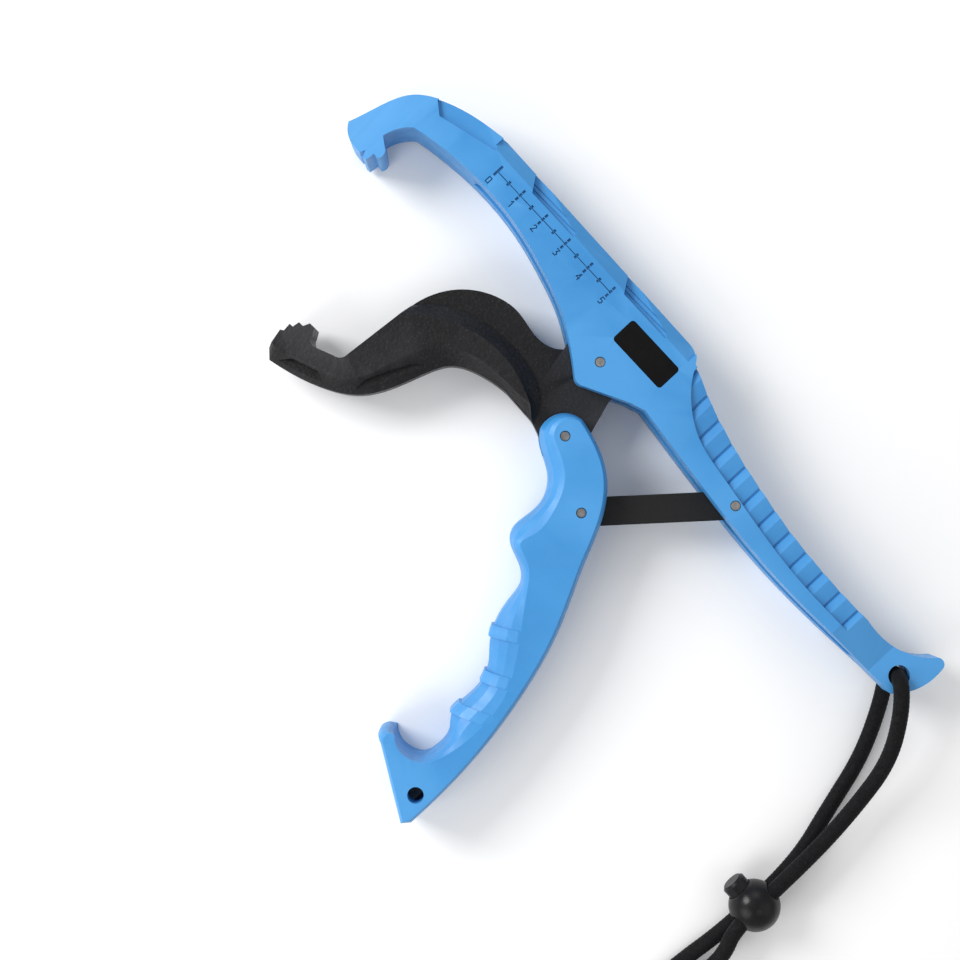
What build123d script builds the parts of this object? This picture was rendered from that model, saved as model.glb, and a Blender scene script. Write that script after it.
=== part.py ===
"""Lip grip: a hand-squeezed fish holder with a fixed jaw, a swinging jaw, a trigger and a wrist lanyard.

The tool lies flat: +Z is up out of the table, +X runs along the frame towards its tail and +Y
towards its ribbed outer edge. The jaw pivot stands on the Z axis. All lengths are in mm.
"""
import math
import os

from build123d import *

os.makedirs("parts", exist_ok=True)

# ---- driving dimensions ----
body_thick = 22.0                      # frame and trigger, table to top face
mid = body_thick / 2                   # height of the plane where the two frame halves meet
half = body_thick / 2
slot_width = 7.0                       # slot that the jaw plate and the link swing in
plate_thick = 6.0                      # jaw plate and link
jaw_thick = 14.0                       # the jaw's biting arm
tail_thick = 11.0                      # the frame's tail, where the lanyard passes through
tip_thick = 13.0                       # the frame's hooked tip

jaw_pivot = (0.0, 0.0)
trigger_pivot = (9.1, -22.8)
trigger_link_pivot = (29.3, -35.0)
frame_link_pivot = (59.3, 0.3)

pin_radius = 1.6
fixed_bore = pin_radius + 0.02         # where a pin is held
running_bore = pin_radius + 0.05       # where a part turns on a pin
link_eye_radius = 3.0                  # loose eye that takes up the linkage's play
link_width = 8.8

cord_radius = 2.5
cord_height = 2.6                      # a strand's centre where it lies on the table
lanyard_hole = (131.6, 2.0)
lanyard_hole_radius = 3.3
lock_centre = (155.3, -78.1, 8.0)
lock_radius = 8.0
strand_gap = 5.3                       # the two strands, centre to centre, inside the lock
lock_travel = 1.5                      # how far the lock's button goes in
knot_centre = (156.5, -150.0, 6.6)
knot_radius = 6.4

screw_shank = 1.2
screw_head = 2.2
screw_places = [(-80, 15.5), (-38, 17.9), (5, 18.2), (38, 10.2), (92, 4.0), (123, 1.2)]


# ---- frame: outline shared by both halves ----
with BuildLine() as frame_edge:
    Spline((-105.2, -5.6), (-101.8, 5.2), (-97.6, 13.8), (-90.8, 18.8), (-79.4, 22.9), (-67.3, 25))
    Line((-67.3, 25), (14.5, 23.8))
    ThreePointArc((14.5, 23.8), (17.7, 22.9), (20, 20.6))
    Spline((20, 20.6), (25, 18.7), (32, 16), (40, 13.6), (52, 10.8), (64, 8.8), (76, 7.1), (88, 6.2),
           (100, 5.8), (112, 6.1))
    Spline((112, 6.1), (121, 6.2), (128.6, 8.6), (135.6, 14.4))
    ThreePointArc((135.6, 14.4), (137.9, 14.8), (139.1, 13.1))
    Spline((139.1, 13.1), (138.4, 3.8), (134, -3.4))
    Spline((134, -3.4), (118, -4.1), (85, -5.4), (50, -3.2), (20, 0))
    Line((20, 0), (15, -1.8))
    Line((15, -1.8), (2, -8.5))
    ThreePointArc((2, -8.5), (0, -9.2), (-2, -8.5))
    Spline((-2, -8.5), (-11, -2.4), (-20, 2.3), (-30, 5.7), (-50, 10), (-70, 10.4), (-89.8, 7.3))
    Spline((-89.8, 7.3), (-93, 3.2), (-94.5, -1.1))
    Line((-94.5, -1.1), (-91.6, -3.1))
    # three biting teeth
    ThreePointArc((-91.6, -3.1), (-90, -5), (-90.5, -7))
    Polyline((-90.5, -7), (-92.3, -6.9), (-92.6, -9.9), (-93.9, -10.1), (-94.9, -8), (-95.8, -9.7),
             (-98.7, -9.6))
    Spline((-98.7, -9.6), (-103, -8), (-105.2, -5.6))

# plan of the slot between the two halves, open along the frame's inner edge
with BuildLine() as frame_slot:
    Polyline((-67, -14), (-67, 10.5), (-64, 12.6), (-20, 12.6), (10, 12.6), (16, 8.4), (26, 6.2),
             (50, 6), (66, 5.4), (74, 3), (118, 1), (118, -14), (-67, -14))

# plan of the ribbed strip along the handle's outer side
with BuildLine() as grip_strip:
    Spline((20.5, 20), (24.4, 14.6), (30, 9.8), (37, 6.1), (50, 3.5), (70, 0.7), (90, -1),
           (104, -1), (115, 0.2), (121, 3.4))
    Polyline((121, 3.4), (121, 26), (20.5, 26), (20.5, 20))

# each rib rises sharply out of a groove and slopes down to the next one
rib_pitch = 7.82
rib_start = 29.0
rib_count = 12
groove_depth = 2.1
rib_low = 1.5
rib_high = 0.7
with BuildPart() as grip_cut:
    with BuildSketch(Plane.XZ):
        for rib in range(-1, rib_count - 1):
            left = rib_start + rib * rib_pitch
            with BuildLine():
                Polyline((left, body_thick + 1), (left, body_thick - groove_depth),
                         (left + 0.7, body_thick - groove_depth), (left + 0.9, body_thick - rib_low),
                         (left + 3.2, body_thick - rib_high),
                         (left + rib_pitch, body_thick - rib_low),
                         (left + rib_pitch, body_thick + 1), (left, body_thick + 1))
            make_face()
    extrude(amount=30, both=True)
    with BuildSketch(Plane.XY.offset(mid)):
        add(grip_strip.line)
        make_face()
    extrude(amount=half + 1, mode=Mode.INTERSECT)

# long bevel along the outer edge, from the first step to the shoulder
bevel_plane = Plane(origin=(-69, 25.05, 0), x_dir=(0.016, 1, 0), z_dir=(1, -0.016, 0))
with BuildPart() as outer_bevel:
    with BuildSketch(bevel_plane):
        with BuildLine():
            Polyline((-4.3, body_thick + 0.01), (1, body_thick - 3.6), (1, body_thick + 1),
                     (-4.3, body_thick + 1), (-4.3, body_thick + 0.01))
        make_face()
    extrude(amount=87)

# ramped notches in that bevel: a sharp step at the tip end that runs out towards the tail
notch_places = [(-54.5, 21.5, 19.7, 4.2), (-13.5, 21.5, 19.1, 4.2)]   # start, length, floor, depth
groove_lines = 2
with BuildPart() as edge_notches:
    for start, length, floor, depth in notch_places:
        with BuildSketch(Plane.XZ.offset(-floor)):
            with BuildLine():
                Polyline((start, body_thick + 1), (start, body_thick - depth),
                         (start + length, body_thick - 0.4), (start + length, body_thick + 1),
                         (start, body_thick + 1))
            make_face()
        extrude(amount=-6)
        for line in range(groove_lines):
            with BuildSketch(Plane.XZ.offset(-(floor + 1.3 * (line + 1)))):
                with BuildLine():
                    Polyline((start, body_thick + 1), (start, body_thick - depth - 0.35),
                             (start + length, body_thick - 0.75), (start + length, body_thick + 1),
                             (start, body_thick + 1))
                make_face()
            extrude(amount=-0.35)
# the steps lean: what lies on the tip side of this line stays
with BuildPart() as edge_notch_cut:
    add(edge_notches.part)
    with BuildSketch(Plane.XY.offset(mid)):
        for start, length, floor, depth in notch_places:
            with BuildLine():
                Polyline((start - 0.6, 25.4), (start + 3.5, floor), (start + length + 0.5, floor),
                         (start + length + 0.5, 25.4), (start - 0.6, 25.4))
            make_face()
    extrude(amount=half + 1, mode=Mode.INTERSECT)

# shallow facet between the tip and the long bevel
with BuildPart() as tip_facet:
    with BuildSketch(Plane.XZ.offset(-14)):
        with BuildLine():
            Polyline((-91, body_thick + 1), (-91, body_thick - 2.6), (-68, body_thick - 0.5),
                     (-68, body_thick + 1), (-91, body_thick + 1))
        make_face()
    extrude(amount=-12)
    with BuildSketch(Plane.XY.offset(mid)):
        with BuildLine():
            Polyline((-91.6, 18.6), (-87, 15.2), (-68, 20.3), (-68, 26), (-91.6, 26), (-91.6, 18.6))
        make_face()
    extrude(amount=half + 1, mode=Mode.INTERSECT)

# upper half of the frame, before anything that only one side has
with BuildPart() as frame_blank:
    with BuildSketch(Plane.XY.offset(mid)):
        add(frame_edge.line)
        make_face()
    extrude(amount=half)
    # the tip and the tail are thinner than the body
    with BuildSketch(Plane.XZ.offset(-30)):
        with BuildLine():
            ThreePointArc((-78, body_thick), (-93, body_thick - 1.5), (-107, mid + tip_thick / 2))
            Polyline((-107, mid + tip_thick / 2), (-107, body_thick + 1), (-78, body_thick + 1),
                     (-78, body_thick))
        make_face()
        with BuildLine():
            Polyline((104, body_thick + 1), (107, body_thick), (124, mid + tail_thick / 2),
                     (142, mid + tail_thick / 2), (142, body_thick + 1), (104, body_thick + 1))
        make_face()
    extrude(amount=60, mode=Mode.SUBTRACT)
    add(outer_bevel.part, mode=Mode.SUBTRACT)
    add(edge_notch_cut.part, mode=Mode.SUBTRACT)
    add(tip_facet.part, mode=Mode.SUBTRACT)
    add(grip_cut.part, mode=Mode.SUBTRACT)
    with BuildSketch(Plane.XY.offset(mid)):
        add(frame_slot.line)
        make_face()
    extrude(amount=slot_width / 2, mode=Mode.SUBTRACT)
    with Locations((*jaw_pivot, mid), (*frame_link_pivot, mid)):
        Cylinder(fixed_bore, half, align=(Align.CENTER, Align.CENTER, Align.MIN), mode=Mode.SUBTRACT)
    with Locations((*lanyard_hole, mid)):
        Cylinder(lanyard_hole_radius, half, align=(Align.CENTER, Align.CENTER, Align.MIN),
                 mode=Mode.SUBTRACT)

# ---- engraved scale: long ticks every 10 mm, short ones between, numerals under them ----
scale_start = -62.8
scale_line = 16.5
scale_step = 9.9
scale_depth = 0.35
# each numeral is one stroke on a grid 1.2 wide and 2.1 high
numeral_strokes = [
    [(0.1, 0.1), (0.1, 2), (1.1, 2), (1.1, 0.1), (0.2, 0.1)],
    [(0.2, 1.6), (0.7, 2.1), (0.7, 0)],
    [(0.1, 1.7), (0.4, 2.1), (0.9, 2.1), (1.1, 1.6), (0.1, 0.1), (1.2, 0.1)],
    [(0.1, 2.1), (1.1, 2.1), (0.5, 1.2), (1.1, 0.8), (0.9, 0.1), (0.1, 0.1)],
    [(0.9, 0), (0.9, 2.1), (0, 0.6), (1.2, 0.6)],
    [(1.1, 2.1), (0.2, 2.1), (0.1, 1.2), (0.9, 1.2), (1.1, 0.6), (0.8, 0.1), (0.1, 0.1)],
]
with BuildPart() as scale_marks:
    with BuildSketch(Plane.XY.offset(body_thick - scale_depth)):
        with Locations((scale_start + 2.5 * scale_step, scale_line)):
            Rectangle(5 * scale_step, 0.28)
        with Locations((scale_start, scale_line + 0.3)):
            Rectangle(0.8, 3.8)
        for mark in range(1, 6):
            for dash in (-1.35, 0.2, 1.6):
                with Locations((scale_start + mark * scale_step, scale_line + dash)):
                    Rectangle(0.75, 1.15)
        for mark in range(5):
            for dash in (-0.5, 0.5):
                with Locations((scale_start + (mark + 0.5) * scale_step, scale_line + dash)):
                    Rectangle(0.8, 0.6)
    extrude(amount=1)
    with BuildSketch(Plane.XY.offset(body_thick - scale_depth)):
        for mark, stroke in enumerate(numeral_strokes):
            left = scale_start + mark * scale_step - 0.6
            for (x1, y1), (x2, y2) in zip(stroke, stroke[1:]):
                place = (left + (x1 + x2) / 2, 11.8 + (y1 + y2) / 2)
                with Locations(Location(place, math.degrees(math.atan2(y2 - y1, x2 - x1)))):
                    Rectangle(math.hypot(x2 - x1, y2 - y1) + 0.3, 0.35)
    extrude(amount=1)

label_size = (20.6, 8.5)
label_place = (7.7, 11.7)
label_depth = 0.5
with BuildPart() as label_plate:
    with BuildSketch(Plane.XY.offset(body_thick - label_depth)):
        with Locations(label_place):
            RectangleRounded(label_size[0], label_size[1], 1.1)
    extrude(amount=0.4)
label_plate.part.label = "label_plate"
export_step(label_plate.part, "parts/label_plate.step")

with BuildPart() as frame_front_shell:
    add(frame_blank.part)
    add(scale_marks.part, mode=Mode.SUBTRACT)
    with BuildSketch(Plane.XY.offset(body_thick - label_depth)):
        with Locations(label_place):
            RectangleRounded(label_size[0] + 0.1, label_size[1] + 0.1, 1.15)
    extrude(amount=1, mode=Mode.SUBTRACT)
    # blind holes that the shell screws bite into
    with BuildSketch(Plane.XY.offset(mid)):
        with Locations(*screw_places[:-1]):
            Circle(screw_shank + 0.05)
    extrude(amount=6, mode=Mode.SUBTRACT)
    with BuildSketch(Plane.XY.offset(mid)):
        with Locations(screw_places[-1]):
            Circle(screw_shank + 0.05)
    extrude(amount=3, mode=Mode.SUBTRACT)
frame_front_shell.part.label = "frame_front_shell"
export_step(frame_front_shell.part, "parts/frame_front_shell.step")

tail_floor = mid - tail_thick / 2
with BuildPart() as frame_back_shell:
    mirror(frame_blank.part, about=Plane.XY.offset(mid))
    with BuildSketch(Plane.XY):
        with Locations(*screw_places):
            Circle(screw_shank + 0.05)
    extrude(amount=mid, mode=Mode.SUBTRACT)
    with BuildSketch(Plane.XY):
        with Locations(*screw_places[:-1]):
            Circle(screw_head + 0.1)
    extrude(amount=2.4, mode=Mode.SUBTRACT)
    with BuildSketch(Plane.XY):
        with Locations(screw_places[-1]):
            Circle(screw_head + 0.1)
    extrude(amount=tail_floor + 1.9, mode=Mode.SUBTRACT)
frame_back_shell.part.label = "frame_back_shell"
export_step(frame_back_shell.part, "parts/frame_back_shell.step")

# ---- shell screws, driven in from the back ----
head_floor = 0.5
head_thick = 1.8
for number, place in enumerate(screw_places, start=1):
    is_tail = place == screw_places[-1]
    lift = tail_floor - 0.1 if is_tail else head_floor
    tip = mid + (2.8 if is_tail else 5.8)
    with BuildPart() as shell_screw:
        with BuildSketch(Plane.XY.offset(lift)):
            with Locations(place):
                Circle(screw_head)
        extrude(amount=head_thick)
        with BuildSketch(Plane.XY.offset(lift + head_thick)):
            with Locations(place):
                Circle(screw_shank)
        extrude(amount=tip - lift - head_thick)
        # cross recess for the driver
        with BuildSketch(Plane.XY.offset(lift)):
            with Locations(place):
                Rectangle(2.6, 0.6)
                Rectangle(0.6, 2.6)
        extrude(amount=1, mode=Mode.SUBTRACT)
    shell_screw.part.label = f"shell_screw_{number}"
    export_step(shell_screw.part, f"parts/shell_screw_{number}.step")

# ---- pivot pins ----
pin_spans = {
    "jaw_pivot_pin": (jaw_pivot, 0.3, body_thick - 0.2),
    "link_frame_pin": (frame_link_pivot, 0.3, body_thick - 0.2),
    "trigger_pivot_pin": (trigger_pivot, 1.1, body_thick - 1.1),
    "link_trigger_pin": (trigger_link_pivot, 1.1, body_thick - 1.1),
}
for pin_name, (place, low, high) in pin_spans.items():
    with BuildPart() as pivot_pin:
        with BuildSketch(Plane.XY.offset(low)):
            with Locations(place):
                Circle(pin_radius)
        extrude(amount=high - low)
        chamfer(pivot_pin.faces().sort_by(Axis.Z)[-1].edges(), 0.25)
        chamfer(pivot_pin.faces().sort_by(Axis.Z)[0].edges(), 0.25)
    pivot_pin.part.label = pin_name
    export_step(pivot_pin.part, f"parts/{pin_name}.step")

# ---- jaw: a thick biting arm that thins to a plate where it enters the frame ----
outer_side = [(-69.2, -72.5), (-60, -69.9), (-51, -65.9), (-43.2, -60.2), (-37.6, -51),
              (-33.6, -39.8), (-30.2, -33.3), (-22.7, -28.8), (-12.4, -26.5), (-1, -26.8)]
outer_crest = [(-68.6, -68.4), (-60, -64.5), (-52.4, -61), (-47.2, -57), (-43.8, -49),
               (-41, -40), (-37.2, -33), (-28.6, -26.6), (-17.4, -24.5), (-5, -23.8)]
shoulder = [(-1, -26.8), (-5, -20), (-13, -16.4), (-25, -15.8), (-36, -17.8), (-44.4, -22),
            (-51.8, -29.6)]
shoulder_crest = [(-5, -23.8), (-8.4, -22.4), (-15, -20.4), (-25, -19.8), (-34, -21.8),
                  (-41.8, -26), (-52, -33)]


def blend(outer, inner, share):
    """Points that lie that share of the way from one row of points to another."""
    return [(a + (c - a) * share, b + (d - b) * share) for (a, b), (c, d) in zip(outer, inner)]


def arm_section(height, share):
    """One closed outline of the jaw's arm at a height, with the same corners at every height."""
    outside = blend(outer_side, outer_crest, share)
    neck = blend(shoulder, shoulder_crest, share)
    chin = blend([(-72, -70)], [(-72.3, -68.2)], share)[0]
    with BuildSketch(Plane.XY.offset(height)) as section:
        with BuildLine():
            Spline(*outside)
            Spline(*neck)
            Line(neck[-1], (-53.9, -54))
            ThreePointArc((-53.9, -54), (-54.5, -56), (-56.5, -57.2))
            Line((-56.5, -57.2), (-62, -59.6))
            ThreePointArc((-62, -59.6), (-63.8, -59.6), (-65.3, -57.9))
            # four biting teeth
            Polyline((-65.3, -57.9), (-66.6, -55.8), (-68.5, -55.8), (-69.4, -58.1), (-71, -58),
                     (-71.3, -60.4), (-72.6, -60.4), (-72.3, -63), (-73.3, -63.7), chin)
            Line(chin, outside[0])
        make_face()
    return section.sketch


with BuildLine() as jaw_plate_edge:
    Spline((-51.8, -29.6), (-50.8, -25), (-46.8, -17), (-37.6, -9.3), (-28, -7), (-19.2, -8.1),
           (-13.7, -7.1), (-10.4, -4.6))
    ThreePointArc((-10.4, -4.6), (-6.6, 8.6), (8.2, 7))
    Line((8.2, 7), (11, -6.5))
    Line((11, -6.5), (14.1, -16.4))
    ThreePointArc((14.1, -16.4), (15.4, -26), (6.4, -29.4))
    Spline((6.4, -29.4), (3, -28), (-1, -26.8))
    Line((-1, -26.8), (-12.4, -26.5))
    Line((-12.4, -26.5), (-51.8, -29.6))

# sloping pockets let into the arm's outer bevel
with BuildLine() as long_pocket:
    Polyline((-67.6, -70.9), (-64.4, -67), (-56.2, -63.9), (-52.4, -65.6), (-67.6, -70.9))
with BuildLine() as side_pocket:
    Polyline((-44.6, -59.4), (-44.8, -55.6), (-42, -48.6), (-38.2, -41), (-35.6, -39.2),
             (-37.4, -46), (-40.9, -54), (-44.6, -59.4))

arm_bevel_depth = 3.2
arm_side = jaw_thick / 2 - arm_bevel_depth
arm_middle = arm_section(mid - arm_side, 0)
with BuildPart() as jaw:
    add(arm_middle)
    extrude(amount=2 * arm_side)
    for side in (-1, 1):
        lower = arm_section(mid + side * arm_side, 0)
        upper = arm_section(mid + side * jaw_thick / 2, 1)
        loft([lower.faces()[0], upper.faces()[0]], ruled=True)
    with BuildSketch(Plane.XY.offset(mid - plate_thick / 2)):
        add(jaw_plate_edge.line)
        make_face()
    extrude(amount=plate_thick)
    for height, direction in ((mid + jaw_thick / 2 - 2.2, 1), (mid - jaw_thick / 2 + 2.2, -1)):
        with BuildSketch(Plane.XY.offset(height)):
            add(long_pocket.line)
            make_face()
            add(side_pocket.line)
            make_face()
        extrude(amount=3 * direction, mode=Mode.SUBTRACT)
    for place in (jaw_pivot, trigger_pivot):
        with Locations((*place, mid)):
            Cylinder(running_bore, body_thick, mode=Mode.SUBTRACT)
jaw.part.label = "jaw"
export_step(jaw.part, "parts/jaw.step")

# ---- trigger: the finger side is rounded by stacked sections that shrink towards each face ----
finger_side = [(2.4, -26.6), (6.2, -29.9), (13.8, -33.8), (18.8, -40.7), (19, -47.4), (19.1, -53.7),
               (21.2, -56.5), (27.9, -59.2), (32.7, -62.7), (34.1, -68.1), (35.8, -75.4),
               (39.9, -82.4), (44.4, -87.2), (46.8, -92.4), (47.1, -100.6), (47.5, -105.4),
               (50.9, -109.6), (52, -116), (50.2, -121.6), (45.5, -123.7), (39.8, -122.3)]
finger_crest = [(7, -25.4), (10.6, -27), (16.6, -30), (21.4, -36), (23.6, -42), (24.2, -50),
                (23.4, -54.4), (28.6, -56.8), (34.2, -61.4), (38, -66.4), (41.4, -70.6),
                (46, -76.4), (50.4, -82.6), (54, -89.6), (55.6, -97), (56, -103), (55.6, -109.4),
                (54.6, -115), (52, -120.6), (46.4, -123.6), (39.6, -121.4)]
knuckle_side = [(9.2, -15.2), (15.2, -16.4), (25.4, -20.5), (33.6, -28.6), (41.8, -44.9),
                (50.9, -63.6), (58.3, -87), (62.2, -109.8), (63.1, -125), (63.1, -136.6)]
knuckle_crest = [(9.1, -16.6), (14.8, -17.8), (24.4, -21.8), (32.2, -29.6), (40.2, -45.6),
                 (49.2, -64), (56.6, -87.2), (60.6, -109.8), (61.6, -125), (61.6, -135.2)]
section_steps = [(4.6, 0.0), (8.6, 0.3), (10.2, 0.62), (11.0, 1.0)]   # height off mid, blend


def trigger_section(height, share, swell=(0, 0)):
    """One closed outline of the trigger at a height; swell shifts its finger side outwards."""
    finger = [(x + swell[0], y + swell[1]) for x, y in blend(finger_side, finger_crest, share)]
    knuckle = blend(knuckle_side, knuckle_crest, share)
    top = blend([(3.3, -18.6)], [(5.4, -20)], share)[0]
    nose = blend([(36.2, -123.4)], [(38, -123.6)], share)[0]
    heel = blend([(38.2, -126.6)], [(39.8, -126)], share)[0]
    tail = blend([(60.8, -139.2)], [(60.4, -137.4)], share)[0]
    with BuildSketch(Plane.XY.offset(height)) as section:
        with BuildLine():
            Spline(*finger)
            ThreePointArc(finger[-1], nose, heel)
            Line(heel, tail)
            Line(tail, knuckle[-1])
            Spline(*reversed(knuckle))
            ThreePointArc(knuckle[0], top, finger[0])
        make_face()
    return section.sketch


def trigger_blank(swell=(0, 0)):
    """The trigger's body before its channel and holes are cut."""
    with BuildPart() as blank:
        add(trigger_section(mid - section_steps[0][0], 0, swell))
        extrude(amount=2 * section_steps[0][0])
        for side in (-1, 1):
            sections = [trigger_section(mid + side * height, share, swell)
                        for height, share in section_steps]
            for inner, outer in zip(sections, sections[1:]):
                loft([inner.faces()[0], outer.faces()[0]], ruled=True)
    return blank.part


# plan of the channel that takes the jaw plate and the link, open towards the frame
with BuildLine() as trigger_slot:
    Polyline((-8, -8), (-8, -31.4), (12, -31.4), (17, -33.2), (22, -37), (23.2, -43), (27, -51),
             (35, -58.6), (39.4, -67), (46, -76.6), (50.6, -86), (52, -97), (55.2, -104),
             (56.2, -112), (70, -112), (70, -8), (-8, -8))

# three raised bands where the fingers rest, slanting across the rounded side
band_places = [((36.6, -79.6), (46.6, -72.2)), ((44, -91.4), (53.4, -85)), ((45.4, -104), (55, -98.4))]
band_width = 3.6
band_swell = (-0.7, -0.4)
tether_hole = (57.3, -129.2)
tether_hole_radius = 2.5
# the tail is hollowed from behind, so that its hole goes through a thin wall
tail_wall = 6.0
with BuildLine() as tail_core:
    Polyline((60.6, -122.6), (60.6, -135), (50, -129.4), (52.6, -122.6), (60.6, -122.6))

with BuildPart() as finger_bands:
    add(trigger_blank(band_swell))
    with BuildSketch(Plane.XY):
        for (x1, y1), (x2, y2) in band_places:
            middle = ((x1 + x2) / 2, (y1 + y2) / 2)
            with Locations(Location(middle, math.degrees(math.atan2(y2 - y1, x2 - x1)))):
                Rectangle(math.hypot(x2 - x1, y2 - y1) + 3, band_width)
    extrude(amount=body_thick, mode=Mode.INTERSECT)

with BuildPart() as trigger:
    add(trigger_blank())
    add(finger_bands.part)
    with BuildSketch(Plane.XY.offset(mid - slot_width / 2)):
        add(trigger_slot.line)
        make_face()
    extrude(amount=slot_width, mode=Mode.SUBTRACT)
    for place in (trigger_pivot, trigger_link_pivot):
        with Locations((*place, mid)):
            Cylinder(fixed_bore, body_thick, mode=Mode.SUBTRACT)
    with Locations((*tether_hole, mid)):
        Cylinder(tether_hole_radius, body_thick, mode=Mode.SUBTRACT)
    with BuildSketch(Plane.XY):
        add(tail_core.line)
        make_face()
    extrude(amount=body_thick - tail_wall, mode=Mode.SUBTRACT)
trigger.part.label = "trigger"
export_step(trigger.part, "parts/trigger.step")

# ---- link between the trigger and the frame's handle ----
link_dx = frame_link_pivot[0] - trigger_link_pivot[0]
link_dy = frame_link_pivot[1] - trigger_link_pivot[1]
link_angle = math.degrees(math.atan2(link_dy, link_dx))
link_length = math.hypot(link_dx, link_dy)
link_middle = ((frame_link_pivot[0] + trigger_link_pivot[0]) / 2,
               (frame_link_pivot[1] + trigger_link_pivot[1]) / 2)
with BuildPart() as link_bar:
    with BuildSketch(Plane.XY.offset(mid - plate_thick / 2)):
        with Locations(Location(link_middle, link_angle)):
            Rectangle(link_length, link_width)
        with Locations(frame_link_pivot):
            Circle(link_width / 2)
        with Locations(trigger_link_pivot):
            Circle(link_eye_radius + 2.4)
        with Locations(frame_link_pivot):
            Circle(running_bore, mode=Mode.SUBTRACT)
        with Locations(trigger_link_pivot):
            Circle(link_eye_radius, mode=Mode.SUBTRACT)
    extrude(amount=plate_thick)
link_bar.part.label = "link_bar"
export_step(link_bar.part, "parts/link_bar.step")

# ---- wrist lanyard: one strand leaves the tail above, the other below ----
lock_x, lock_y, lock_z = lock_centre
knot_x, knot_y, knot_z = knot_centre
upper_z = lock_z + strand_gap / 2
lower_z = lock_z - strand_gap / 2
over_tail = mid + tail_thick / 2 + cord_radius + 0.4
top_route = [
    (*lanyard_hole, mid + 0.01), (*lanyard_hole, over_tail), (140.2, -6, over_tail - 0.4),
    (149.4, -18, 14), (154, -34, 8.8), (lock_x, -54, upper_z), (lock_x, -87, upper_z),
    (160.2, -96, 8.8), (161.2, -109, cord_height), (160.4, -127, 3),
    (knot_x + 2.7, knot_y + 13, knot_z),
    (knot_x + 2.7, knot_y + 5.6, knot_z),
]
top_bends = [4, 6, 15, 18, 14, 10, 10, 15, 15, 12]
under_route = [
    (*lanyard_hole, mid - 0.01), (*lanyard_hole, cord_height), (138.6, -8, cord_height),
    (146, -23, cord_height), (150.4, -40, cord_height), (lock_x, -60, lower_z),
    (lock_x, -90, lower_z), (154, -108, cord_height), (153.2, -126, 3),
    (knot_x - 2.7, knot_y + 13, knot_z), (knot_x - 2.7, knot_y + 5.6, knot_z),
]
under_bends = [4, 15, 20, 20, 15, 15, 20, 15, 12]


def bend_radius_limit(before, corner, after):
    """Largest bend radius at a corner that leaves a straight bit of each run."""
    first = Vector(*before) - Vector(*corner)
    second = Vector(*after) - Vector(*corner)
    turn = math.pi - math.radians(first.get_angle(second))
    return 0.45 * min(first.length, second.length) / math.tan(turn / 2)


def strand(route, bends):
    """A round cord along the route's runs, with an arc at each corner."""
    limits = [bend_radius_limit(*route[i:i + 3]) for i in range(len(route) - 2)]
    radii = [min(bend, limit) for bend, limit in zip(bends, limits)]
    with BuildPart() as cord:
        with BuildLine() as path:
            FilletPolyline(*route, radius=radii)
        with BuildSketch(Plane(origin=path.line @ 0, z_dir=path.line % 0)):
            Circle(cord_radius)
        sweep()
    length = sum(edge.length for edge in path.edges())
    print("bend radii", [round(radius, 1) for radius in radii])
    print("length", round(length, 1), "volume share",
          round(cord.part.volume / (length * math.pi * cord_radius ** 2), 4))
    return cord


lanyard_top_strand = strand(top_route, top_bends)
lanyard_top_strand.part.label = "lanyard_top_strand"
export_step(lanyard_top_strand.part, "parts/lanyard_top_strand.step")

lanyard_under_strand = strand(under_route, under_bends)
lanyard_under_strand.part.label = "lanyard_under_strand"
export_step(lanyard_under_strand.part, "parts/lanyard_under_strand.step")

# ---- ball cord lock: the button's ring grips both strands ----
ring_radius = 6.2
ring_thick = 3.0
ring_shift = 0.9                       # the ring sits a little towards the button at rest
button_radius = 3.9
button_top = lock_radius + 2.4
with BuildPart() as cord_lock_body:
    with Locations(lock_centre):
        Sphere(lock_radius)
    # passage for the two strands
    with BuildSketch(Plane(origin=lock_centre, x_dir=(0, 0, 1), z_dir=(0, 1, 0))):
        SlotCenterToCenter(strand_gap, 2 * cord_radius + 0.4)
    extrude(amount=lock_radius + 1, both=True, mode=Mode.SUBTRACT)
    # room for the ring, at rest and pushed in
    with BuildSketch(Plane(origin=lock_centre, x_dir=(-1, 0, 0), z_dir=(0, 1, 0))):
        with Locations((ring_shift, 0), (ring_shift - lock_travel, 0)):
            Circle(ring_radius + 0.3)
        with Locations((ring_shift - lock_travel / 2, 0)):
            Rectangle(lock_travel, 2 * (ring_radius + 0.3))
    extrude(amount=ring_thick / 2 + 0.3, both=True, mode=Mode.SUBTRACT)
    # bore for the button's stem
    with BuildSketch(Plane(origin=lock_centre, x_dir=(0, 1, 0), z_dir=(-1, 0, 0))):
        Circle(button_radius + 0.3)
    extrude(amount=lock_radius + 1, mode=Mode.SUBTRACT)
cord_lock_body.part.label = "cord_lock_body"
export_step(cord_lock_body.part, "parts/cord_lock_body.step")

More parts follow.
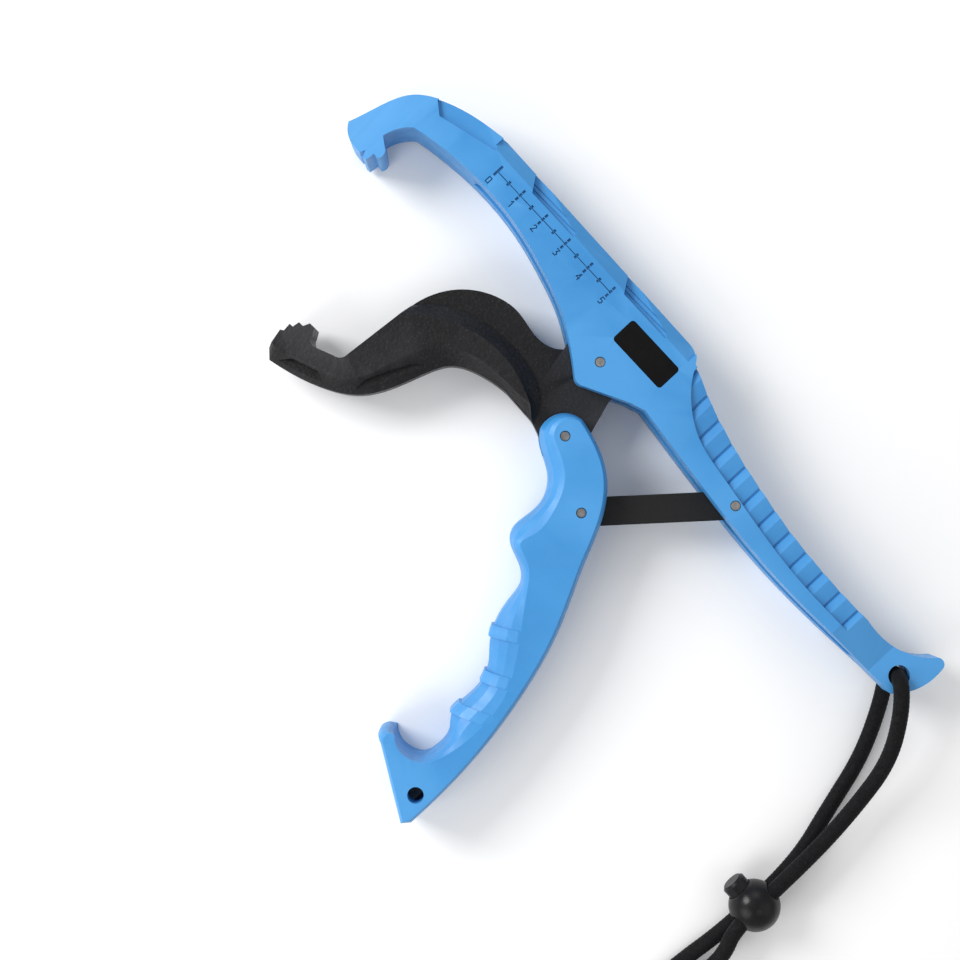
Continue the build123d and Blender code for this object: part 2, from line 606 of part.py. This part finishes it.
window_low = -cord_radius - ring_shift - 0.35
window_high = cord_radius - ring_shift + lock_travel + 0.35
with BuildPart() as cord_lock_button:
    with BuildSketch(Plane(origin=lock_centre, x_dir=(-1, 0, 0), z_dir=(0, 1, 0))):
        with Locations((ring_shift, 0)):
            Circle(ring_radius)
    extrude(amount=ring_thick / 2, both=True)
    with BuildSketch(Plane(origin=lock_centre, x_dir=(0, 1, 0), z_dir=(-1, 0, 0)).offset(4.4)):
        Circle(button_radius)
    extrude(amount=button_top - 4.4)
    chamfer(cord_lock_button.faces().sort_by(Axis.X)[0].edges(), 0.8)
    # window round the strands, tall enough for the whole stroke
    with BuildSketch(Plane(origin=lock_centre, x_dir=(-1, 0, 0), z_dir=(0, 1, 0))):
        with Locations((ring_shift + (window_low + window_high) / 2, 0)):
            Rectangle(window_high - window_low, strand_gap + 1.6)
        for end in (-1, 1):
            for shift in (0, -lock_travel):
                with Locations((0 - shift, end * strand_gap / 2)):
                    Circle(cord_radius + 0.2)
    extrude(amount=lock_radius, both=True, mode=Mode.SUBTRACT)
cord_lock_button.part.label = "cord_lock_button"
export_step(cord_lock_button.part, "parts/cord_lock_button.step")

# ---- stopper knot that joins the two strands ----
with BuildPart() as lanyard_knot:
    with Locations(knot_centre):
        Sphere(knot_radius)
    for side in (-1, 1):
        with BuildSketch(Plane(origin=(knot_x + side * 2.8, knot_y - 3, knot_z),
                               z_dir=(side * 0.35, -1, -0.3))):
            Circle(cord_radius)
        extrude(amount=12)
    for side in (-1, 1):
        with BuildSketch(Plane(origin=(knot_x + side * 2.7, knot_y + 5.5, knot_z), z_dir=(0, 1, 0))):
            Circle(cord_radius + 0.05)
        extrude(amount=4, mode=Mode.SUBTRACT)
lanyard_knot.part.label = "lanyard_knot"
export_step(lanyard_knot.part, "parts/lanyard_knot.step")
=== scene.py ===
"""Lip grip lying on a pale table, seen from straight above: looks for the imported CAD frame."""
import math

import bmesh
import bpy
from mathutils import Matrix, Vector


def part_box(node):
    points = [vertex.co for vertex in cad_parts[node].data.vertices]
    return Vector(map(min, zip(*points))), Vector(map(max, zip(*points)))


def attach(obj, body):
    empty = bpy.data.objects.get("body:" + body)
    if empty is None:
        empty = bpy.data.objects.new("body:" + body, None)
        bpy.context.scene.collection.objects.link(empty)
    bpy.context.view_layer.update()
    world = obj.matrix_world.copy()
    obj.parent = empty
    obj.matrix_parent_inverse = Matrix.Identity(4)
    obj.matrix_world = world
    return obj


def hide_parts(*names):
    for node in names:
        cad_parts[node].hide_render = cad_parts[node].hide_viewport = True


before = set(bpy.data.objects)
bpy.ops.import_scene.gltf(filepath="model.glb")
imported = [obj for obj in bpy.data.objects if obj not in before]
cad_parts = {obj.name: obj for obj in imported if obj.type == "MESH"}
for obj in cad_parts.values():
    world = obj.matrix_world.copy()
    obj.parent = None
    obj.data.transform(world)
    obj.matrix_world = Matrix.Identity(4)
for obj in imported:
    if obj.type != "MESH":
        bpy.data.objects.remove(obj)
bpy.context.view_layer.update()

MM = 0.001
FACE_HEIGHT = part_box("frame_front_shell")[1][2]      # the frame's front face above the table
CORD_RADIUS = 2.5 * MM
KNOT_CENTRE = Vector((156.5, -150.0, 6.6)) * MM
SCREW_COUNT = 6
TABLE_GAP = 0.2 * MM                   # the table top sits just under the part
TABLE_REACH = 3.0                      # metres from the middle to the table's edge


# ---- camera ----
ROLL = math.radians(47)                # the frame slants down to the right across the picture
CAMERA_HEIGHT = 0.460                  # above the front face
VIEW_WIDTH = 0.288                     # what the picture spans at the front face
SENSOR = 36.0
camera_data = bpy.data.cameras.new("camera")
camera_data.sensor_width = SENSOR
camera_data.lens = SENSOR * CAMERA_HEIGHT / VIEW_WIDTH
camera_data.clip_end = 20
camera = bpy.data.objects.new("camera", camera_data)
camera.location = (1.3 * MM, -50.5 * MM, FACE_HEIGHT + CAMERA_HEIGHT)
camera.rotation_euler = (0, 0, ROLL)
bpy.context.collection.objects.link(camera)
bpy.context.scene.camera = camera
bpy.context.scene.view_settings.view_transform = "Standard"


# ---- node helpers ----
class Shader:
    """A material's node tree with short ways to add and join nodes."""

    def __init__(self, name, roughness, specular=0.5):
        self.material = bpy.data.materials.new(name)
        self.material.use_nodes = True
        self.tree = self.material.node_tree
        self.surface = self.tree.nodes["Principled BSDF"]
        self.surface.inputs["Roughness"].default_value = roughness
        self.surface.inputs["Specular IOR Level"].default_value = specular
        self.place = self.add("ShaderNodeTexCoord").outputs["Object"]

    def add(self, kind, **settings):
        node = self.tree.nodes.new(kind)
        for name, value in settings.items():
            setattr(node, name, value)
        return node

    def join(self, source, target):
        self.tree.links.new(source, target)

    def noise(self, scale, detail=3, roughness=0.5, vector=None):
        node = self.add("ShaderNodeTexNoise")
        node.inputs["Scale"].default_value = scale
        node.inputs["Detail"].default_value = detail
        node.inputs["Roughness"].default_value = roughness
        self.join(vector or self.place, node.inputs["Vector"])
        return node.outputs["Fac"]

    def ramp(self, source, low, high, start, end):
        node = self.add("ShaderNodeMapRange")
        node.inputs["From Min"].default_value = low
        node.inputs["From Max"].default_value = high
        node.inputs["To Min"].default_value = start
        node.inputs["To Max"].default_value = end
        self.join(source, node.inputs["Value"])
        return node.outputs["Result"]

    def math(self, operation, first, second=None):
        node = self.add("ShaderNodeMath", operation=operation)
        for socket, value in zip(node.inputs, (first, second)):
            if value is None:
                continue
            if isinstance(value, (int, float)):
                socket.default_value = value
            else:
                self.join(value, socket)
        return node.outputs["Value"]

    def mix(self, share, first, second):
        node = self.add("ShaderNodeMix", data_type="RGBA")
        factor, a, b = node.inputs[0], node.inputs[6], node.inputs[7]
        for socket, value in ((factor, share), (a, first), (b, second)):
            if isinstance(value, (int, float)):
                socket.default_value = value
            elif isinstance(value, tuple):
                socket.default_value = (*value, 1)
            else:
                self.join(value, socket)
        return node.outputs[2]

    def bump(self, height, strength, distance):
        node = self.add("ShaderNodeBump")
        node.inputs["Strength"].default_value = strength
        node.inputs["Distance"].default_value = distance
        self.join(height, node.inputs["Height"])
        self.join(node.outputs["Normal"], self.surface.inputs["Normal"])

    def colour(self, source):
        self.join(source, self.surface.inputs["Base Color"])

    def rough(self, source):
        self.join(source, self.surface.inputs["Roughness"])


def between(shader, source, low, high):
    """1 where the value lies between two limits, 0 elsewhere."""
    above = shader.math("GREATER_THAN", source, low)
    below = shader.math("LESS_THAN", source, high)
    return shader.math("MULTIPLY", above, below)


# ---- materials ----
BLUE = (0.046, 0.268, 0.61)
BLUE_DEEP = (0.035, 0.228, 0.54)
BLUE_PALE = (0.085, 0.34, 0.70)
INK = (0.004, 0.075, 0.24)
# where the engraved scale lies on the front face: across, up, and how deep it is cut
SCALE_X = (-64.5 * MM, -11.5 * MM)
SCALE_Y = (11.0 * MM, 19.2 * MM)
SCALE_DEPTH = (0.5 * MM, 0.05 * MM)


def blue_plastic(name, engraved=False):
    """Satin moulded plastic: faint mottling, fine grain, and convex edges painted paler as a
    highlight.
    """
    shader = Shader(name, 0.42, 0.45)
    cloudy = shader.noise(38, 4)
    base = shader.mix(shader.ramp(cloudy, 0.3, 0.7, 0, 1), BLUE_DEEP, BLUE)
    fleck = shader.ramp(shader.noise(1500, 2), 0.62, 0.8, 0, 0.35)
    base = shader.mix(fleck, base, BLUE_PALE)
    # Painted highlight: convex edges are lightened towards the pale blue.
    painted_highlight = shader.add("ShaderNodeNewGeometry").outputs["Pointiness"]
    base = shader.mix(shader.ramp(painted_highlight, 0.52, 0.60, 0, 0.5), base, BLUE_PALE)
    if engraved:
        axis = shader.add("ShaderNodeSeparateXYZ")
        shader.join(shader.place, axis.inputs["Vector"])
        x, y, z = axis.outputs
        region = shader.math("MULTIPLY", between(shader, x, *SCALE_X), between(shader, y, *SCALE_Y))
        sunk = between(shader, z, *(FACE_HEIGHT - depth for depth in SCALE_DEPTH))
        ink = shader.math("MULTIPLY", region, sunk)
        patchy = shader.ramp(shader.noise(900, 2), 0.3, 0.6, 0.7, 1)
        base = shader.mix(shader.math("MULTIPLY", ink, patchy), base, INK)
    shader.colour(base)
    shader.rough(shader.ramp(shader.noise(240, 3), 0.3, 0.7, 0.36, 0.50))
    grain = shader.math("ADD", shader.math("MULTIPLY", shader.noise(2600, 2), 0.5),
                        shader.noise(420, 3))
    shader.bump(grain, 0.22, 0.00012)
    return shader.material


def black_plastic(name, speckle, base, fleck, roughness, grain=0.4):
    """Matte black moulding with a fine pebbled texture, pale specks and a painted highlight on its
    convex edges.
    """
    shader = Shader(name, roughness, 0.22)
    cell = shader.add("ShaderNodeTexVoronoi")
    cell.inputs["Scale"].default_value = 900
    shader.join(shader.place, cell.inputs["Vector"])
    soft = shader.ramp(shader.noise(60, 4), 0.3, 0.7, 0, 1)
    colour = shader.mix(soft, tuple(0.8 * value for value in base), base)
    dots = shader.ramp(shader.noise(1800, 3, 0.7), 0.56, 0.72, 0, speckle)
    colour = shader.mix(dots, colour, fleck)
    # Painted highlight: convex edges are lightened towards the fleck colour.
    painted_highlight = shader.add("ShaderNodeNewGeometry").outputs["Pointiness"]
    colour = shader.mix(shader.ramp(painted_highlight, 0.53, 0.62, 0, 0.5), colour, fleck)
    shader.colour(colour)
    shader.rough(shader.ramp(shader.noise(300, 3), 0.3, 0.7, roughness - 0.07, roughness + 0.09))
    pebble = shader.math("ADD", cell.outputs["Distance"], shader.noise(2200, 3))
    shader.bump(pebble, grain, 0.00018)
    return shader.material


def dull_steel(name, base):
    """Turned steel: fine rings of wear and a slight stain."""
    shader = Shader(name, 0.42, 0.5)
    shader.surface.inputs["Metallic"].default_value = 1.0
    stain = shader.ramp(shader.noise(700, 4), 0.3, 0.7, 0, 1)
    shader.colour(shader.mix(stain, tuple(0.62 * value for value in base), base))
    shader.rough(shader.ramp(shader.noise(1600, 3), 0.3, 0.7, 0.32, 0.55))
    shader.bump(shader.noise(3000, 3), 0.3, 0.00008)
    return shader.material


def label_black(name):
    """Flat black printed plate with a faint tooth."""
    shader = Shader(name, 0.6, 0.12)
    shade = shader.ramp(shader.noise(90, 4), 0.3, 0.7, 0, 1)
    shader.colour(shader.mix(shade, (0.002, 0.002, 0.0025), (0.004, 0.004, 0.0045)))
    shader.rough(shader.ramp(shader.noise(500, 3), 0.3, 0.7, 0.42, 0.58))
    shader.bump(shader.noise(2400, 3), 0.2, 0.00006)
    return shader.material


def braided_cord(name):
    """Black braided nylon: a dark sheen with dusty threads."""
    shader = Shader(name, 0.8, 0.15)
    shader.surface.inputs["Sheen Weight"].default_value = 0.08
    shader.surface.inputs["Sheen Roughness"].default_value = 0.4
    thread = shader.ramp(shader.noise(2600, 3), 0.35, 0.7, 0, 1)
    shader.colour(shader.mix(thread, (0.002, 0.002, 0.0025), (0.009, 0.009, 0.010)))
    shader.rough(shader.ramp(shader.noise(700, 3), 0.3, 0.7, 0.68, 0.88))
    shader.bump(shader.noise(5200, 2), 0.4, 0.0001)
    return shader.material


def paper_floor(name):
    """Plain pale table top."""
    shader = Shader(name, 0.7, 0.2)
    shade = shader.ramp(shader.noise(4, 2), 0.3, 0.7, 0, 1)
    shader.colour(shader.mix(shade, (0.90, 0.90, 0.90), (0.93, 0.93, 0.93)))
    return shader.material


materials = {
    "frame": blue_plastic("blue_plastic_scale", engraved=True),
    "blue": blue_plastic("blue_plastic"),
    "jaw": black_plastic("black_plastic", 0.5, (0.008, 0.008, 0.009), (0.06, 0.06, 0.065), 0.42,
                         0.6),
    "link": black_plastic("black_link", 0.2, (0.004, 0.004, 0.004), (0.018, 0.018, 0.018), 0.6),
    "lock": black_plastic("lock_plastic", 0.15, (0.006, 0.006, 0.007), (0.03, 0.03, 0.032), 0.3,
                          0.12),
    "pin": dull_steel("pin_steel", (0.42, 0.40, 0.38)),
    "screw": dull_steel("screw_steel", (0.5, 0.5, 0.5)),
    "label": label_black("label_black"),
    "cord": braided_cord("black_cord"),
    "floor": paper_floor("paper_floor"),
}
node_looks = {
    "frame_front_shell": "frame", "frame_back_shell": "blue", "trigger": "blue", "jaw": "jaw",
    "link_bar": "link", "label_plate": "label", "jaw_pivot_pin": "pin", "trigger_pivot_pin": "pin",
    "link_trigger_pin": "pin", "link_frame_pin": "pin", "cord_lock_body": "lock",
    "cord_lock_button": "lock",
}
for number in range(1, SCREW_COUNT + 1):
    node_looks[f"shell_screw_{number}"] = "screw"
for node_name, look in node_looks.items():
    mesh = bpy.data.objects[node_name].data
    mesh.materials.clear()
    mesh.materials.append(materials[look])


# ---- braided cords ----
STRANDS = 8                            # threads that turn each way round the braid
LAY = 11 * MM                          # length of one turn of a thread
RELIEF = 0.16 * MM
AROUND = 48
STEP = 0.45 * MM


def nurbs_line(name, points):
    """Points read from a NURBS curve through the route's control points."""
    curve = bpy.data.curves.new(name, "CURVE")
    curve.dimensions = "3D"
    spline = curve.splines.new("NURBS")
    spline.points.add(len(points) - 1)
    for control, place in zip(spline.points, points):
        control.co = (*place, 1)
    spline.order_u = 3
    spline.use_endpoint_u = True
    spline.resolution_u = 24
    holder = bpy.data.objects.new(name, curve)
    mesh = bpy.data.meshes.new_from_object(holder)
    line = [vertex.co.copy() for vertex in mesh.vertices]
    bpy.data.objects.remove(holder)
    bpy.data.curves.remove(curve)
    bpy.data.meshes.remove(mesh)
    return line


def even_steps(line, step):
    """The same line as points an even distance apart."""
    lengths = [0.0]
    for first, second in zip(line, line[1:]):
        lengths.append(lengths[-1] + (second - first).length)
    count = max(2, round(lengths[-1] / step))
    result, place = [], 0
    for index in range(count + 1):
        wanted = lengths[-1] * index / count
        while place < len(line) - 2 and lengths[place + 1] < wanted:
            place += 1
        span = lengths[place + 1] - lengths[place]
        share = 0 if span == 0 else (wanted - lengths[place]) / span
        result.append(line[place].lerp(line[place + 1], min(1, share)))
    return result, lengths[-1]


def braid_height(turn, along):
    """Height of the woven threads at an angle (in turns) and a place along the cord (in lays)."""
    right = math.cos(2 * math.pi * STRANDS * (turn + along))
    left = math.cos(2 * math.pi * STRANDS * (turn - along))
    over = math.cos(2 * math.pi * STRANDS * turn) * math.cos(2 * math.pi * STRANDS * along)
    return max(right, left) * 0.6 + over * 0.4


def braided_tube(name, line, radius, taper_end=False):
    """A mesh tube along a line, with the braid's threads raised on it."""
    points, length = even_steps(line, STEP)
    mesh_data = bmesh.new()
    tangent = (points[1] - points[0]).normalized()
    side = tangent.orthogonal().normalized()
    rings = []
    for index, point in enumerate(points):
        ahead = points[min(index + 1, len(points) - 1)] - points[max(index - 1, 0)]
        new_tangent = ahead.normalized()
        side = (tangent.rotation_difference(new_tangent) @ side).normalized()
        tangent = new_tangent
        across = tangent.cross(side)
        along = index * STEP / LAY
        from_end = (len(points) - 1 - index) * STEP
        narrow = 1.0
        if taper_end and from_end < radius:
            narrow = math.sqrt(max(0.02, 1 - (1 - from_end / radius) ** 2))
        ring = []
        for place in range(AROUND):
            turn = place / AROUND
            rise = (radius - RELIEF + RELIEF * braid_height(turn, along)) * narrow
            angle = 2 * math.pi * turn
            offset = side * math.cos(angle) * rise + across * math.sin(angle) * rise
            ring.append(mesh_data.verts.new(point + offset))
        rings.append(ring)
    for first, second in zip(rings, rings[1:]):
        for place in range(AROUND):
            after = (place + 1) % AROUND
            mesh_data.faces.new((first[place], first[after], second[after], second[place]))
    mesh_data.faces.new(list(reversed(rings[0])))
    mesh_data.faces.new(rings[-1])
    for face in mesh_data.faces:
        face.smooth = len(face.verts) == 4
    mesh = bpy.data.meshes.new(name)
    mesh_data.to_mesh(mesh)
    mesh_data.free()
    mesh.materials.append(materials["cord"])
    tube = bpy.data.objects.new(name, mesh)
    bpy.context.collection.objects.link(tube)
    return tube, length, points


def metres(*route):
    return [Vector(point) * MM for point in route]


TOP_ROUTE = metres(
    (131.6, 2, 11.01), (131.6, 2, 19.4), (140.2, -6, 19.0), (149.4, -18, 14), (154, -34, 8.8),
    (155.3, -54, 10.65), (155.3, -87, 10.65), (160.2, -96, 8.8), (161.2, -109, 2.6),
    (160.4, -127, 3), (159.2, -137, 6.6), (159.2, -144.4, 6.6))
UNDER_ROUTE = metres(
    (131.6, 2, 10.99), (131.6, 2, 2.6), (138.6, -8, 2.6), (146, -23, 2.6), (150.4, -40, 2.6),
    (155.3, -60, 5.35), (155.3, -90, 5.35), (154, -108, 2.6), (153.2, -126, 3),
    (153.8, -137, 6.6), (153.8, -144.4, 6.6))

lock_pieces = [bpy.data.objects["cord_lock_body"], bpy.data.objects["cord_lock_button"]]


def lanyard_knot():
    """Barrel knot wound from both strands, with two short ends."""
    turns, coil_radius, coil_length = 2.6, 3.95 * MM, 10.78 * MM
    count = 90
    coil = []
    for index in range(count + 1):
        share = index / count
        angle = 2 * math.pi * turns * share
        coil.append(KNOT_CENTRE + Vector((coil_radius * math.cos(angle),
                                          (0.5 - share) * coil_length,
                                          coil_radius * math.sin(angle))))
    wound, _, _ = braided_tube("knot_coil", coil, CORD_RADIUS - 0.02 * MM)
    parts = [wound]
    for side in (-1, 1):
        tail = [KNOT_CENTRE + Vector((side * x, y, z)) * MM for x, y, z in
                ((1.5, 2, 0), (2.6, -5, -0.6), (4.0, -10, -2.0), (6.2, -15, -3.2))]
        end, _, _ = braided_tube(f"knot_end_{side}", nurbs_line("knot_end", tail),
                                 CORD_RADIUS - 0.05 * MM, taper_end=True)
        parts.append(end)
    with bpy.context.temp_override(active_object=wound, selected_editable_objects=parts):
        bpy.ops.object.join()
    wound.name = "lanyard_knot_braid"
    return wound


knot = lanyard_knot()
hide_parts("lanyard_knot")
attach(knot, "frame")

for cord_name, node_name, route, exit_place, pieces in (
    ("lanyard_top_braid", "lanyard_top_strand", TOP_ROUTE, (0.1316, 0.002, 0.0165),
     lock_pieces + [knot]),
    ("lanyard_under_braid", "lanyard_under_strand", UNDER_ROUTE, (0.1316, 0.002, 0.0055), []),
):
    tube, tube_length, path = braided_tube(cord_name, nurbs_line(cord_name, route), CORD_RADIUS)
    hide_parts(node_name)
    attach(tube, "frame")


# ---- table and light ----
floor_mesh = bpy.data.meshes.new("table")
corners = [(x * TABLE_REACH, y * TABLE_REACH, 0) for x, y in ((-1, -1), (1, -1), (1, 1), (-1, 1))]
floor_mesh.from_pydata(corners, [], [(0, 1, 2, 3)])
floor_mesh.materials.append(materials["floor"])
floor = bpy.data.objects.new("table", floor_mesh)
floor.location.z = -TABLE_GAP
bpy.context.collection.objects.link(floor)


def area_light(name, place, target, size, power):
    """A soft square light that faces a target."""
    data = bpy.data.lights.new(name, "AREA")
    data.size = size
    data.energy = power
    lamp = bpy.data.objects.new(name, data)
    lamp.location = place
    lamp.rotation_euler = (Vector(target) - Vector(place)).to_track_quat("-Z", "Y").to_euler()
    bpy.context.collection.objects.link(lamp)


def picture_place(right, up, height):
    """A place given across and up the picture, in metres from its middle."""
    spot = Matrix.Rotation(ROLL, 3, "Z") @ Vector((right, up, 0))
    return (camera.location.x + spot.x, camera.location.y + spot.y, height)


middle = picture_place(0, 0, 0)
area_light("key", picture_place(-0.75, 0.45, 0.65), middle, 0.5, 9)
area_light("fill", picture_place(0.8, -0.2, 0.9), middle, 1.0, 1.5)
area_light("back", picture_place(0.1, 1.0, 0.6), middle, 0.6, 2.0)
area_light("low", picture_place(-0.35, -0.35, 0.35), picture_place(-0.06, -0.09, 0), 0.35, 1.3)
world = bpy.data.worlds.new("studio")
world.use_nodes = True
world.node_tree.nodes["Background"].inputs["Color"].default_value = (1, 1, 1, 1)
world.node_tree.nodes["Background"].inputs["Strength"].default_value = 0.52
bpy.context.scene.world = world
